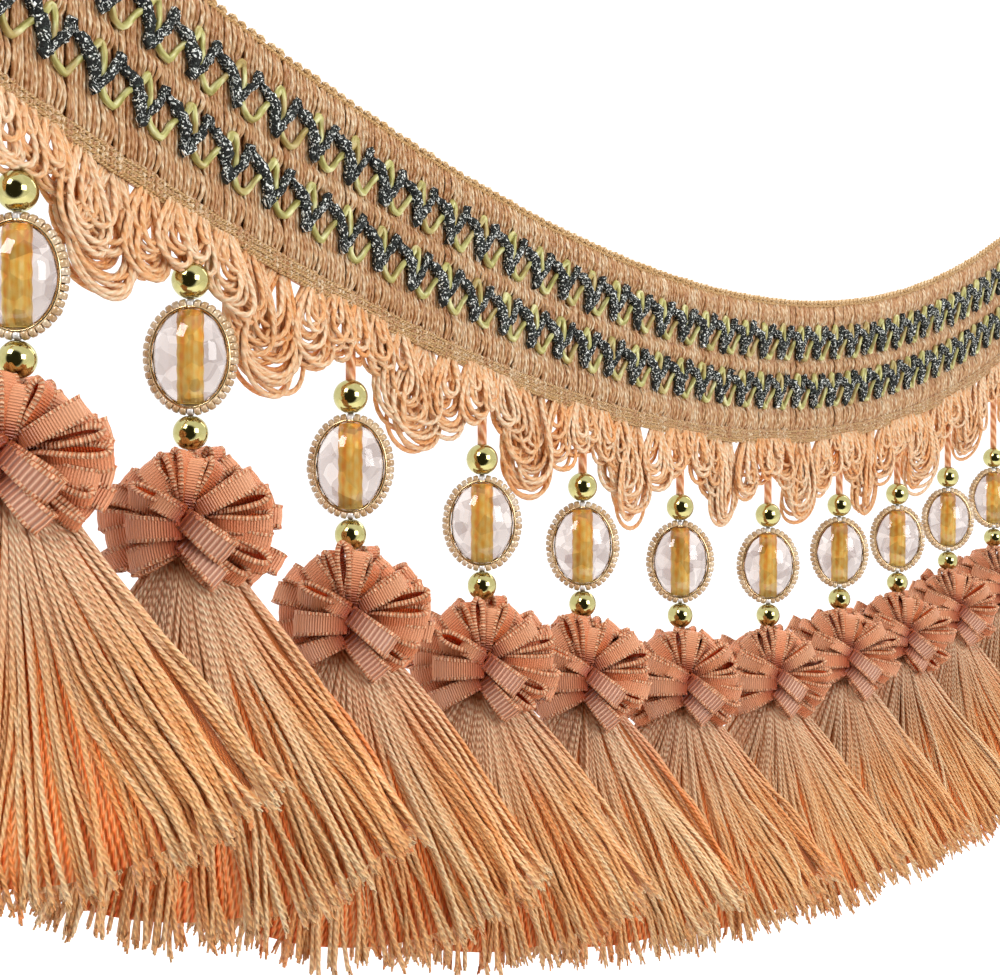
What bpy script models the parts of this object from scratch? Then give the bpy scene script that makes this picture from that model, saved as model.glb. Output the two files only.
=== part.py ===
"""A hanging length of beaded tassel fringe, the trim that is sewn along a curtain or a pelmet.

A woven heading hangs in a swag. A looped fringe and eleven pendants hang from its lower edge. Each pendant
is a cord with a ball bead, an oval bead in a ring, a second ball bead, a ribbon rosette and a tassel skirt.

The origin is on the heading's top edge at mid-length. +X runs along the trim, +Y points away from the
viewer and +Z is up. The beads and skirts hang turned about their cords, with their faces to the viewer.
"""

import math

import bmesh
import bpy
from mathutils import Vector

for leftover in list(bpy.data.objects):
    bpy.data.objects.remove(leftover, do_unlink=True)

# The whole length, in metres
TASSEL_PITCH = 0.0416
GAP = 0.0003
FACE_TURN = math.radians(45.4)

# The swag of the heading's top edge, above its own lowest point
SWAG_LOW_X = 0.036
SWAG_SPAN = 0.229
SWAG_RISE_LEFT = 0.073
SWAG_RISE_RIGHT = 0.050

# Heading
HEADING_HALF_LENGTH = 0.218
HEADING_WIDTH = 0.045
HEADING_THICK = 0.0022
ZIGZAGS_PER_PITCH = 4
ZIGZAG_RAISE = 0.0012
ZIGZAG_SWING = 0.10
ZIGZAG_HALF_WIDTH = 0.09
PICOT_AT = 0.03
PICOT_RAISE = 0.0005
ZIGZAG_ROWS = (0.26, 0.64)
BINDING_AT = 0.91
EDGE_CLOSE = 1e-7

# Loop fringe, with the hanging lengths of a scallop's locks from one cord to the next
STRIP_DEEP = 0.003
STRIP_THICK = 0.0016
CORD_THICK = 0.0025
CORD_CLEAR = 0.0064
LOCK_BULGE_AT = 0.45
LOCK_BULGE_THICK = 0.0048
LOCK_BULGE_SHARE = 0.80
LOCK_TIP_THICK = 0.0030
LOCK_TIP_SHARE = 0.60
SCALLOP_LENGTHS = (0.0125, 0.0145, 0.020, 0.027, 0.026, 0.022, 0.017, 0.0125)

# Pendants, from the left: how far each is set off its even place, and its cord's length
PENDANTS = (
    # shift along the trim, cord below the heading
    (0.0015, 0.0115),
    (-0.0020, 0.0085),
    (-0.0007, 0.0157),
    (0.0004, 0.0177),
    (-0.0027, 0.0168),
    (-0.0007, 0.0174),
    (0.0036, 0.0190),
    (0.0050, 0.0192),
    (0.0030, 0.0221),
    (0.0000, 0.0259),
    (-0.0030, 0.0320),
)

# Beads
BALL_TOP_RADIUS = 0.0040
BALL_LOW_RADIUS = 0.0037
BALL_SIDES = 8
BALL_BANDS = 6
OVAL_HEIGHT = 0.0236
OVAL_WIDTH = 0.0195
OVAL_DEEP = 0.0088
OVAL_SIDES = 16
OVAL_PROFILE = (
    # share of the outer size, share of the half depth
    (0.62, 0.74),
    (0.82, 0.18),
    (0.90, 0.26),
    (1.00, 0.10),
)

# Rosette
ROSETTE_DROP = 0.0321
ROSETTE_LOBES = 10
ROSETTE_NOTCH = 0.90
ROSETTE_FLAT_RADIUS = 0.0085
ROSETTE_BOTTOM = -0.0148
ROSETTE_DIMPLE = 0.0119
ROSETTE_PROFILE = (
    # lobe radius, height from the rosette's middle
    (0.0150, -0.0125),
    (0.0185, -0.0020),
    (0.0165, 0.0085),
    (0.0090, 0.0148),
)

# Skirt
SKIRT_LENGTH = 0.087
SKIRT_HALF_ANGLE = math.radians(36.0)
SKIRT_LOCKS_WIDE = 8
SKIRT_HALF_DEPTH_TOP = 0.0045
SKIRT_HALF_DEPTH_TIP = 0.0132
SKIRT_EDGE_THIN = 0.82
NECK_HEIGHT = 0.006
NECK_TAPER = 0.75
LOCK_PART = 0.0006
LOCK_PART_AT = 0.30
TIP_RAGGED = 0.0015
TIP_WAVE_ACROSS = 3.1
TIP_WAVE_DEEP = 1.7


def swag_height(x):
    """Height of the heading's top edge over its lowest point: a sag that is steeper on the left."""
    left = -SWAG_SPAN - SWAG_LOW_X
    right = SWAG_SPAN - SWAG_LOW_X
    bend_left = SWAG_RISE_LEFT / left**2
    bend_right = SWAG_RISE_RIGHT / right**2
    lean = (bend_right - bend_left) / (right - left)
    bend = bend_left - lean * left
    across = x - SWAG_LOW_X
    return bend * across**2 + lean * across**3


def swag_slope(x):
    return (swag_height(x + GAP) - swag_height(x - GAP)) / (2 * GAP)


def heading_point(x, down, out=0.0):
    """A point on the heading: x along its top edge, down across it at right angles, out to the viewer."""
    slope = swag_slope(x)
    length = math.hypot(1, slope)
    top = swag_height(x) - swag_height(0)
    return Vector((x + down * slope / length, -out, top - down / length))


def lower_edge_height(x):
    """Height of the heading's lower edge straight above a point at x, found by stepping nearer to it."""
    foot = x
    while abs(miss := x - heading_point(foot, HEADING_WIDTH).x) > EDGE_CLOSE:
        foot += miss
    return heading_point(foot, HEADING_WIDTH).z


def mesh_object(name, points, faces, material):
    """A closed mesh from points and faces, with its normals made to face out."""
    work = bmesh.new()
    corners = [work.verts.new(point) for point in points]
    for face in faces:
        work.faces.new([corners[index] for index in face])
    bmesh.ops.recalc_face_normals(work, faces=work.faces)
    mesh = bpy.data.meshes.new(name)
    work.to_mesh(mesh)
    work.free()
    mesh.materials.append(material)
    return place(name, mesh)


def place(name, mesh, at=(0, 0, 0), turn=0.0):
    piece = bpy.data.objects.new(name, mesh)
    piece.location = at
    piece.rotation_euler = (0, 0, turn)
    bpy.context.scene.collection.objects.link(piece)
    return piece


def finish(name, colour, roughness, metallic=0.0):
    material = bpy.data.materials.new(name)
    material.use_nodes = True
    shader = material.node_tree.nodes["Principled BSDF"]
    shader.inputs["Base Color"].default_value = (*colour, 1)
    shader.inputs["Roughness"].default_value = roughness
    shader.inputs["Metallic"].default_value = metallic
    return material


def bridge(first, second):
    """The quads between two rings of point numbers."""
    count = len(first)
    return [(first[i], first[(i + 1) % count], second[(i + 1) % count], second[i]) for i in range(count)]


def build_heading():
    """The band, swept along the swag, with its picot edge and two zigzag cords raised on the front."""
    columns = round(2 * HEADING_HALF_LENGTH / TASSEL_PITCH * ZIGZAGS_PER_PITCH) * 2
    points = []
    rings = []
    for column in range(columns + 1):
        x = -HEADING_HALF_LENGTH + 2 * HEADING_HALF_LENGTH * column / columns
        swing = ZIGZAG_SWING * (-1) ** column
        front = HEADING_THICK / 2
        rows = [(0.0, front), (PICOT_AT, front + PICOT_RAISE)]
        for middle in ZIGZAG_ROWS:
            ridge = middle + swing
            rows += [
                (ridge - ZIGZAG_HALF_WIDTH, front),
                (ridge, front + ZIGZAG_RAISE),
                (ridge + ZIGZAG_HALF_WIDTH, front),
            ]
        rows += [(BINDING_AT, front + PICOT_RAISE), (1.0, front), (1.0, -front), (0.0, -front)]
        rings.append(range(len(points), len(points) + len(rows)))
        points += [heading_point(x, share * HEADING_WIDTH, out) for share, out in rows]
    faces = [tuple(rings[0]), tuple(rings[-1])]
    for first, second in zip(rings, rings[1:]):
        faces += bridge(first, second)
    return mesh_object("heading", points, faces, finish("braid", (0.66, 0.40, 0.24), 0.6))


def hang_lock(points, faces, root, steps):
    """Hangs one four-sided lock from the root's four points, through the rings of points in steps."""
    ring = root
    for step in steps:
        lower = range(len(points), len(points) + 4)
        points += step
        faces += bridge(ring, lower)
        ring = lower
    faces.append(tuple(ring))


def box_ring(x, z, width, thick, lean=0.0):
    """Four points round a lock: front left, front right, back right, back left. lean follows a sloping edge."""
    return [
        Vector((x + side * width / 2, depth * thick / 2, z + lean * side * width / 2))
        for side, depth in ((-1, -1), (1, -1), (1, 1), (-1, 1))
    ]


def pendant_place(index):
    """Where a pendant's cord hangs along the trim."""
    middle = (len(PENDANTS) - 1) / 2
    return (index - middle) * TASSEL_PITCH + PENDANTS[index][0]


def fringe_plan():
    """The strip's cells from left to right: left edge, right edge, what hangs there and how far down."""
    ends = [heading_point(end, HEADING_WIDTH).x for end in (-HEADING_HALF_LENGTH, HEADING_HALF_LENGTH)]
    cords = [pendant_place(index) for index in range(len(PENDANTS))]
    hanging = [(x, CORD_THICK / 2, "cord", cord - GAP) for x, (_, cord) in zip(cords, PENDANTS)]
    stops = [cords[0] - TASSEL_PITCH] + cords + [cords[-1] + TASSEL_PITCH]
    for start, stop in zip(stops, stops[1:]):
        step = (stop - start - 2 * CORD_CLEAR) / (len(SCALLOP_LENGTHS) - 1)
        for number, length in enumerate(SCALLOP_LENGTHS):
            middle = start + CORD_CLEAR + number * step
            if ends[0] + step / 2 < middle < ends[1] - step / 2:
                hanging.append((middle, step / 2, "lock", length))
    hanging.sort()
    cells = []
    edge = ends[0]
    for middle, reach, kind, length in hanging:
        left = middle - reach
        if left - edge > GAP:
            cells.append((edge, left, "bare", 0.0))
            edge = left
        cells.append((edge, middle + reach, kind, length))
        edge = middle + reach
    cells.append((edge, ends[1], "bare", 0.0))
    return cells


def build_loop_fringe():
    """The strip under the heading, with its loops as separate locks and the hanger cords between them."""
    points = []
    faces = []
    cells = fringe_plan()
    edges = [cells[0][0]] + [cell[1] for cell in cells]
    rings = []
    for x in edges:
        top = lower_edge_height(x) - GAP
        rings.append(range(len(points), len(points) + 4))
        for z in (top, top - STRIP_DEEP):
            points += [Vector((x, -STRIP_THICK / 2, z)), Vector((x, STRIP_THICK / 2, z))]
    faces += [tuple(rings[0][i] for i in (0, 1, 3, 2)), tuple(rings[-1][i] for i in (0, 1, 3, 2))]
    for (left, right, kind, length), first, second in zip(cells, rings, rings[1:]):
        for one, two in ((0, 1), (1, 3), (2, 0)):
            faces.append((first[one], first[two], second[two], second[one]))
        root = (first[2], second[2], second[3], first[3])
        if kind == "bare":
            faces.append(root)
            continue
        x = (left + right) / 2
        root_z = (points[first[2]].z + points[second[2]].z) / 2
        lean = (points[second[2]].z - points[first[2]].z) / (right - left)
        tip = lower_edge_height(x) - length
        if kind == "cord":
            steps = [box_ring(x, tip, CORD_THICK, CORD_THICK)]
        else:
            bulge = root_z + (tip - root_z) * LOCK_BULGE_AT
            steps = [
                box_ring(x, bulge, LOCK_BULGE_SHARE * (right - left), LOCK_BULGE_THICK, lean),
                box_ring(x, tip, LOCK_TIP_SHARE * (right - left), LOCK_TIP_THICK),
            ]
        hang_lock(points, faces, root, steps)
    return mesh_object("loop_fringe", points, faces, finish("loop_yarn", (0.80, 0.47, 0.23), 0.55))


def ball_mesh(name, radius, material):
    work = bmesh.new()
    bmesh.ops.create_uvsphere(work, u_segments=BALL_SIDES, v_segments=BALL_BANDS, radius=radius)
    mesh = bpy.data.meshes.new(name)
    work.to_mesh(mesh)
    work.free()
    mesh.shade_smooth()
    mesh.materials.append(material)
    return mesh


def turned_form(name, rings, low, high, material):
    """A closed form from rings of points, closed at each end by a fan to its low and high point."""
    points = [point for ring in rings for point in ring]
    count = len(rings[0])
    numbered = [range(start, start + count) for start in range(0, len(points), count)]
    faces = []
    for first, second in zip(numbered, numbered[1:]):
        faces += bridge(first, second)
    for ring, cap in ((numbered[0], low), (numbered[-1], high)):
        points.append(Vector(cap))
        faces += [(ring[i], ring[(i + 1) % count], len(points) - 1) for i in range(count)]
    piece = mesh_object(name, points, faces, material)
    mesh = piece.data
    bpy.data.objects.remove(piece)
    return mesh


def oval_mesh():
    """The faceted bead in its ring: a lens form, flat to the viewer, with a groove inside the ring."""
    sides = [(share, depth * OVAL_DEEP / 2) for share, depth in OVAL_PROFILE]
    rings = []
    for share, depth in sides + [(share, -depth) for share, depth in reversed(sides)]:
        ring = []
        for step in range(OVAL_SIDES):
            angle = 2 * math.pi * step / OVAL_SIDES
            x = share * OVAL_WIDTH / 2 * math.cos(angle)
            z = share * OVAL_HEIGHT / 2 * math.sin(angle)
            ring.append(Vector((x, -depth, z)))
        rings.append(ring)
    front = (0, -OVAL_DEEP / 2, 0)
    back = (0, OVAL_DEEP / 2, 0)
    return turned_form("oval_bead", rings, front, back, finish("clear_bead", (0.86, 0.80, 0.78), 0.08))


def rosette_mesh():
    """The ribbon ruffle's outer form: lobed all round, flat below, dimpled on top for the lower ball."""
    sides = 2 * ROSETTE_LOBES
    rings = []
    profile = ((ROSETTE_FLAT_RADIUS, ROSETTE_BOTTOM),) + ROSETTE_PROFILE
    for level, (radius, z) in enumerate(profile):
        ring = []
        for step in range(sides):
            lobe = radius if (step + level) % 2 == 0 or level == 0 else radius * ROSETTE_NOTCH
            angle = 2 * math.pi * step / sides
            ring.append(Vector((lobe * math.cos(angle), lobe * math.sin(angle), z)))
        rings.append(ring)
    low = (0, 0, ROSETTE_BOTTOM)
    high = (0, 0, ROSETTE_DIMPLE)
    return turned_form("rosette", rings, low, high, finish("ribbon", (0.62, 0.29, 0.17), 0.5))


def skirt_point(across, depth, down):
    """A point of the fan: across from -1 to 1 of its spread, depth from -1 to 1, down from its apex."""
    angle = across * SKIRT_HALF_ANGLE
    half_depth = SKIRT_HALF_DEPTH_TOP + (SKIRT_HALF_DEPTH_TIP - SKIRT_HALF_DEPTH_TOP) * down / SKIRT_LENGTH
    half_depth *= math.sqrt(1 - (SKIRT_EDGE_THIN * across) ** 2)
    return Vector((down * math.sin(angle), depth * half_depth, -down * math.cos(angle)))


def skirt_mesh():
    """The bound neck and its two rows of locks, which part from each other and spread into a fan."""
    neck_top = -ROSETTE_BOTTOM + GAP
    points = []
    columns = SKIRT_LOCKS_WIDE + 1
    places = [-1 + 2 * step / SKIRT_LOCKS_WIDE for step in range(columns)]
    for depth in (-1, 0, 1):
        for across in places:
            points.append(skirt_point(across, depth, (neck_top + NECK_HEIGHT) / math.cos(SKIRT_HALF_ANGLE)))
    for depth in (-1, 1):
        for across in (-1, 1):
            edge = skirt_point(across, depth, neck_top / math.cos(SKIRT_HALF_ANGLE))
            points.append(Vector((edge.x * NECK_TAPER, edge.y, -neck_top)))
    last = columns - 1
    front, middle, back = (range(row * columns, (row + 1) * columns) for row in range(3))
    top = range(3 * columns, 3 * columns + 4)
    faces = [
        (top[0], top[1], top[3], top[2]),
        (*front, top[1], top[0]),
        (*back, top[3], top[2]),
        (front[0], middle[0], back[0], top[2], top[0]),
        (front[last], middle[last], back[last], top[3], top[1]),
    ]
    for row, (first, second) in enumerate(((front, middle), (middle, back))):
        for column in range(SKIRT_LOCKS_WIDE):
            root = (first[column], first[column + 1], second[column + 1], second[column])
            ragged = TIP_RAGGED * math.sin(TIP_WAVE_ACROSS * column + TIP_WAVE_DEEP * row)
            steps = []
            for share in (LOCK_PART_AT, 1.0):
                start = (neck_top + NECK_HEIGHT) / math.cos(SKIRT_HALF_ANGLE)
                down = start + (SKIRT_LENGTH + ragged - start) * share
                side = LOCK_PART / (down * SKIRT_HALF_ANGLE)
                left = places[column] + side
                right = places[column + 1] - side
                near, far = ((-1, -side), (side, 1))[row]
                corners = ((left, near), (right, near), (right, far), (left, far))
                steps.append([skirt_point(across, depth, down) for across, depth in corners])
            hang_lock(points, faces, root, steps)
    piece = mesh_object("skirt", points, faces, finish("skirt_yarn", (0.72, 0.38, 0.16), 0.55))
    mesh = piece.data
    bpy.data.objects.remove(piece)
    return mesh


def build_pendants():
    gold = finish("gold_ball", (0.68, 0.60, 0.16), 0.12, 1.0)
    top_ball = ball_mesh("top_bead", BALL_TOP_RADIUS, gold)
    low_ball = ball_mesh("low_bead", BALL_LOW_RADIUS, gold)
    oval = oval_mesh()
    rosette = rosette_mesh()
    skirt = skirt_mesh()
    for index, (_, cord) in enumerate(PENDANTS):
        x = pendant_place(index)
        top_z = lower_edge_height(x) - cord - BALL_TOP_RADIUS
        oval_z = top_z - BALL_TOP_RADIUS - GAP - OVAL_HEIGHT / 2
        low_z = oval_z - OVAL_HEIGHT / 2 - GAP - BALL_LOW_RADIUS
        heart = Vector((x, 0, oval_z - ROSETTE_DROP))
        place(f"top_bead_{index}", top_ball, (x, 0, top_z))
        place(f"oval_bead_{index}", oval, (x, 0, oval_z), -FACE_TURN)
        place(f"low_bead_{index}", low_ball, (x, 0, low_z))
        place(f"rosette_{index}", rosette, heart, -FACE_TURN)
        place(f"skirt_{index}", skirt, heart, -FACE_TURN)


build_heading()
build_loop_fringe()
build_pendants()
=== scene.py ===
"""The looks of a hanging length of beaded tassel fringe: braid, loops, beads, rosettes and skirts."""

import math

import bpy
import numpy as np
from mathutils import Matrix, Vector


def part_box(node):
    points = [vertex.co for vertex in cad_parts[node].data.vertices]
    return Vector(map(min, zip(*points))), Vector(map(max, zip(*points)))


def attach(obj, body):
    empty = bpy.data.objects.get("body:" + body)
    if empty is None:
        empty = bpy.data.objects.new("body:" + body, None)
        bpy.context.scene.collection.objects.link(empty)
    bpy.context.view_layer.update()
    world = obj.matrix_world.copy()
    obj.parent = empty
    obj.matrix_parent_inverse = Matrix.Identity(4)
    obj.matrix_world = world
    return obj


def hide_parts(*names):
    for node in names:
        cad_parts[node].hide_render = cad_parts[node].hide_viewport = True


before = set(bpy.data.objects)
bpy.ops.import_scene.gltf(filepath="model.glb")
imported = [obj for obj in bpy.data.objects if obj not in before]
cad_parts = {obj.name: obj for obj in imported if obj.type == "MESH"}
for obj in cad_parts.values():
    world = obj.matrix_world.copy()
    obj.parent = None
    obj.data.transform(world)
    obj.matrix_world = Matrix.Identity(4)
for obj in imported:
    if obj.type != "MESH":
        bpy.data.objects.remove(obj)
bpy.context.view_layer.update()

# The trim hangs level in front of the viewer and runs away to the right. Beads, rosettes and skirts have
# all turned on their cords to face the same way, and the camera looks at them from there.
FACE_TURN = math.radians(45.4)
RIGHT = np.array([math.cos(FACE_TURN), -math.sin(FACE_TURN), 0.0])
FORWARD = np.array([math.sin(FACE_TURN), math.cos(FACE_TURN), 0.0])
UP = np.array([0.0, 0.0, 1.0])
CAMERA_BACK = 0.4101
CAMERA_ASIDE = 0.0536
CAMERA_HEIGHT = -0.0607
CAMERA_LENS_MM = 50.0
CAMERA_SENSOR_MM = 36.0

camera = bpy.data.objects.new("camera", bpy.data.cameras.new("camera"))
camera.data.lens = CAMERA_LENS_MM
camera.data.sensor_width = CAMERA_SENSOR_MM
camera.data.clip_start = 0.01
camera.location = CAMERA_HEIGHT * UP - CAMERA_BACK * FORWARD - CAMERA_ASIDE * RIGHT
camera.rotation_euler = (math.pi / 2, 0, -FACE_TURN)
bpy.context.scene.collection.objects.link(camera)
bpy.context.scene.camera = camera


# The woven heading: a ground band, and over it the glossy two-ply yarns that hang straight across it from
# edge to edge. They float free in three rows, and are drawn into sheaves where the zigzag cords hold them.
HEADING_WIDTH = 0.045
HEADING_HALF_LENGTH = 0.218
SWAG_LOW_X = 0.036
SWAG_SPAN = 0.229
SWAG_RISE_LEFT = 0.073
SWAG_RISE_RIGHT = 0.050
SLOPE_STEP = 0.0001
GROUND_THICK = 0.0012
GROUND_COLUMNS = 220
GROUND_ROWS = 10
GROUND_INSET = 0.002
GROUND_RIB_PITCH = 0.0011
GROUND_PICK_PITCH = 0.0009
ZIGZAG_PERIOD = 0.0104
FLOAT_STEP = 0.00094
FLOAT_THICK = 0.00120
FLOAT_OUT = 0.0004
FLOAT_END_ROOM = 0.0015
FLOAT_PLY_PITCH = 0.0042
SHEAF_DRAW = 0.07
SHEAF_PUFF = 0.45
FLOAT_ZONES = (
    # start and end across the width, lift over the ground, steps of the mesh
    (0.015, 0.165, 0.0008, 4),
    (0.165, 0.415, 0.0003, 3),
    (0.415, 0.520, 0.0009, 4),
    (0.520, 0.760, 0.0003, 3),
    (0.760, 0.905, 0.0009, 4),
)
BINDING_STEPS = (0.915, 0.928, 0.941, 0.954, 0.967, 0.980, 0.994)
BINDING_LIFT = 0.0003
BINDING_WEAVE = 0.0003


def ink(code):
    """A colour written as on a paint card, as the linear values that a shader takes."""
    parts = [int(code[i : i + 2], 16) / 255 for i in (1, 3, 5)]
    linear = [part / 12.92 if part <= 0.04045 else ((part + 0.055) / 1.055) ** 2.4 for part in parts]
    return (*linear, 1.0)


BLACK = "#000000"
WHITE = "#FFFFFF"


class Value:
    """A number or colour on its way through a shader, so that sums on numbers are written as sums."""

    def __init__(self, nodes, socket):
        self.nodes = nodes
        self.socket = socket

    def _with(self, operation, first, second):
        return self.nodes.node("ShaderNodeMath", {"operation": operation}, {0: first, 1: second})

    def __add__(self, other):
        return self._with("ADD", self, other)

    def __sub__(self, other):
        return self._with("SUBTRACT", self, other)

    def __rsub__(self, other):
        return self._with("SUBTRACT", other, self)

    def __mul__(self, other):
        return self._with("MULTIPLY", self, other)

    def __truediv__(self, other):
        return self._with("DIVIDE", self, other)

    __radd__ = __add__
    __rmul__ = __mul__


class Nodes:
    """The nodes of one shader."""

    def __init__(self, tree):
        self.tree = tree

    def fill(self, socket, value):
        """A link, a colour code or a plain number on a socket."""
        if isinstance(value, Value):
            self.tree.links.new(value.socket, socket)
        else:
            socket.default_value = ink(value) if isinstance(value, str) else value

    def node(self, kind, settings=None, inputs=None, out=0):
        made = self.tree.nodes.new(kind)
        for key, value in (settings or {}).items():
            if key == "stops":
                ramp = made.color_ramp.elements
                while len(ramp) < len(value):
                    ramp.new(1.0)
                for stop, (place, colour) in zip(ramp, value):
                    stop.position = place
                    stop.color = ink(colour)
            else:
                setattr(made, key, value)
        for key, value in (inputs or {}).items():
            self.fill(made.inputs[key], value)
        return Value(self, made.outputs[out])

    def wave(self, turns):
        """A ridge to each whole turn, from nothing to one and back."""
        return self.node("ShaderNodeMath", {"operation": "SINE"}, {0: turns * (2 * math.pi)}) * 0.5 + 0.5

    def ramp(self, share, *stops):
        return self.node("ShaderNodeValToRGB", {"stops": stops}, {"Fac": share}, out="Color")

    def above(self, value, low, high):
        """Nothing up to the low mark, and all of it from the high one."""
        return self.ramp(value, (low, BLACK), (high, WHITE))

    def mix(self, share, first, second, way="MIX"):
        settings = {"data_type": "RGBA", "blend_type": way}
        return self.node("ShaderNodeMix", settings, {0: share, 6: first, 7: second}, out=2)


class Paint(Nodes):
    """One finish: a Principled shader, and what is worked out for it from the yarn's own measures."""

    def __init__(self, name, **fixed):
        self.material = bpy.data.materials.new(name)
        self.material.use_nodes = True
        super().__init__(self.material.node_tree)
        self.shader = self.tree.nodes["Principled BSDF"]
        self.feed(**fixed)

    def own(self, name):
        """A measure that the mesh holds, by its name."""
        return self.node("ShaderNodeAttribute", {"attribute_name": name}, out="Fac")

    def measures(self):
        """Metres along the yarn, and the share of the way round it."""
        uv = self.node("ShaderNodeUVMap", {"uv_map": "UVMap"})
        return [self.node("ShaderNodeSeparateXYZ", None, {0: uv}, out) for out in (0, 1)]

    def cloud(self, place, scale, detail):
        inputs = {"Vector": place, "Scale": scale, "Detail": detail}
        return self.node("ShaderNodeTexNoise", None, inputs, out="Fac")

    def noise(self, scale):
        return self.cloud(self.node("ShaderNodeTexCoord", out="Object"), scale, 2.0)

    def cells(self, place, scale):
        """A random share for each cell of a pattern, and how far it is from the middle of its cell."""
        inputs = {"Vector": place, "Scale": scale}
        tint, away = [self.node("ShaderNodeTexVoronoi", None, inputs, out) for out in ("Color", "Distance")]
        return self.node("ShaderNodeSeparateColor", None, {0: tint}), away

    def streaks(self, length, strands, shift):
        """Noise drawn out along the yarn: streaks of a length, so many side by side round it."""
        along, around = self.measures()
        place = self.node("ShaderNodeCombineXYZ", None, {0: along / length, 1: around * strands, 2: shift})
        return self.cloud(place, 1.0, 1.0)

    def twist(self, plies, pitch, shift=0.0):
        """Height over a twisted yarn: one ridge to each ply, winding round it once in a pitch."""
        along, around = self.measures()
        return self.wave(around * plies + along * (plies / pitch) + shift)

    def feed(self, **values):
        for key, value in values.items():
            self.fill(self.shader.inputs[key.replace("_", " ")], value)

    def bump(self, height, distance):
        raised = {"Distance": distance, "Height": height}
        self.feed(Normal=self.node("ShaderNodeBump", None, raised, out="Normal"))


def swag_height(x):
    """Height of the hanging top edge over its lowest point."""
    left = -SWAG_SPAN - SWAG_LOW_X
    right = SWAG_SPAN - SWAG_LOW_X
    bend_left = SWAG_RISE_LEFT / left**2
    bend_right = SWAG_RISE_RIGHT / right**2
    lean = (bend_right - bend_left) / (right - left)
    bend = bend_left - lean * left
    across = x - SWAG_LOW_X
    return bend * across**2 + lean * across**3


def heading_point(x, down, out=0.0):
    """Points on the heading: x along its top edge, down across it in metres, out towards the viewer."""
    x, down, out = np.broadcast_arrays(*(np.asarray(part, float) for part in (x, down, out)))
    slope = (swag_height(x + SLOPE_STEP) - swag_height(x - SLOPE_STEP)) / (2 * SLOPE_STEP)
    length = np.hypot(1, slope)
    top = swag_height(x) - swag_height(0.0)
    return np.stack([x + down * slope / length, -out, top - down / length], axis=-1)


def plumb_point(x, down, out=0.0):
    """The same, but straight below x however far across the heading it is."""
    foot = np.asarray(x, float)
    for _ in range(8):
        foot = foot + x - heading_point(foot, down)[..., 0]
    return heading_point(foot, down, out)


def show(name, paint, body, replaced=()):
    """A mesh piece from arrays: the corners of all faces in a row, and how many corners each face has."""
    measures = dict(body)
    points, corners, counts = [measures.pop(key) for key in ("points", "corners", "counts")]
    uv = measures.pop("uv", None)
    mesh = bpy.data.meshes.new(name)
    mesh.vertices.add(len(points))
    mesh.vertices.foreach_set("co", np.asarray(points, np.float32).ravel())
    mesh.loops.add(len(corners))
    mesh.loops.foreach_set("vertex_index", np.asarray(corners, np.int32))
    mesh.polygons.add(len(counts))
    starts = np.concatenate([[0], np.cumsum(counts)[:-1]])
    mesh.polygons.foreach_set("loop_start", starts.astype(np.int32))
    if uv is not None:
        mesh.uv_layers.new(name="UVMap").data.foreach_set("uv", np.asarray(uv, np.float32).ravel())
    for key, values in measures.items():
        held = mesh.attributes.new(key, "FLOAT", "POINT")
        held.data.foreach_set("value", np.asarray(values, np.float32))
    mesh.update()
    mesh.polygons.foreach_set("use_smooth", np.full(len(counts), True))
    mesh.validate()
    mesh.materials.append(paint.material)
    piece = bpy.data.objects.new(name, mesh)
    bpy.context.scene.collection.objects.link(piece)
    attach(piece, "root")
    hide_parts(*replaced)
    return piece


def unit(vectors):
    return vectors / np.maximum(np.linalg.norm(vectors, axis=-1, keepdims=True), 1e-12)


def skin(rings, along, around):
    """Closed tubes over rings of points (tubes, rings, sides, 3), with their measures along and around."""
    count, steps, sides = rings.shape[:3]
    number = np.arange(count * steps * sides).reshape(count, steps, sides)
    here, ahead = number[:, :-1], number[:, 1:]
    quads = np.stack([here, np.roll(here, -1, 2), np.roll(ahead, -1, 2), ahead], -1).reshape(-1)
    caps = np.concatenate([number[:, 0, ::-1].reshape(-1), number[:, -1].reshape(-1)])
    near = np.broadcast_to(along[:, :-1, None], here.shape)
    far = np.broadcast_to(along[:, 1:, None], here.shape)
    start = np.broadcast_to(around[:-1], here.shape)
    end = np.broadcast_to(around[1:], here.shape)
    spots = [(near, start), (near, end), (far, end), (far, start)]
    uv_quads = np.stack([np.stack(spot, -1) for spot in spots], axis=3).reshape(-1, 2)
    return {
        "points": rings.reshape(-1, 3),
        "corners": np.concatenate([quads, caps]),
        "counts": np.concatenate([np.full(len(quads) // 4, 4), np.full(2 * count, sides)]),
        "uv": np.concatenate([uv_quads, np.zeros((len(caps), 2))]),
    }


def lengths(paths):
    """How far along its path each point is."""
    gone = np.linalg.norm(np.diff(paths, axis=1), axis=-1)
    return np.concatenate([np.zeros((len(paths), 1)), np.cumsum(gone, 1)], 1)


OUT_OF_BAND = np.array([0.0, 1.0, 0.0])


def yarns(paths, thick, sides, tone=0.5, across=OUT_OF_BAND):
    """Round closed yarns: paths (yarns, points, 3), diameters, and a direction that none runs along."""
    count, steps = paths.shape[:2]
    thick = np.broadcast_to(np.asarray(thick, float), (count, steps))
    run = unit(np.gradient(paths, axis=1))
    side = unit(np.cross(run, across))
    rise = np.cross(run, side)
    angle = np.arange(sides) * (2 * math.pi / sides)
    spoke = np.cos(angle)[:, None] * side[:, :, None] + np.sin(angle)[:, None] * rise[:, :, None]
    along = lengths(paths)
    rings = paths[:, :, None] + 0.5 * thick[:, :, None, None] * spoke
    made = skin(rings, along, np.linspace(0, 1, sides + 1))
    made["share"] = np.repeat((along / along[:, -1:]).reshape(-1), sides)
    made["tone"] = np.repeat(np.broadcast_to(tone, count), steps * sides)
    return made


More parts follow.
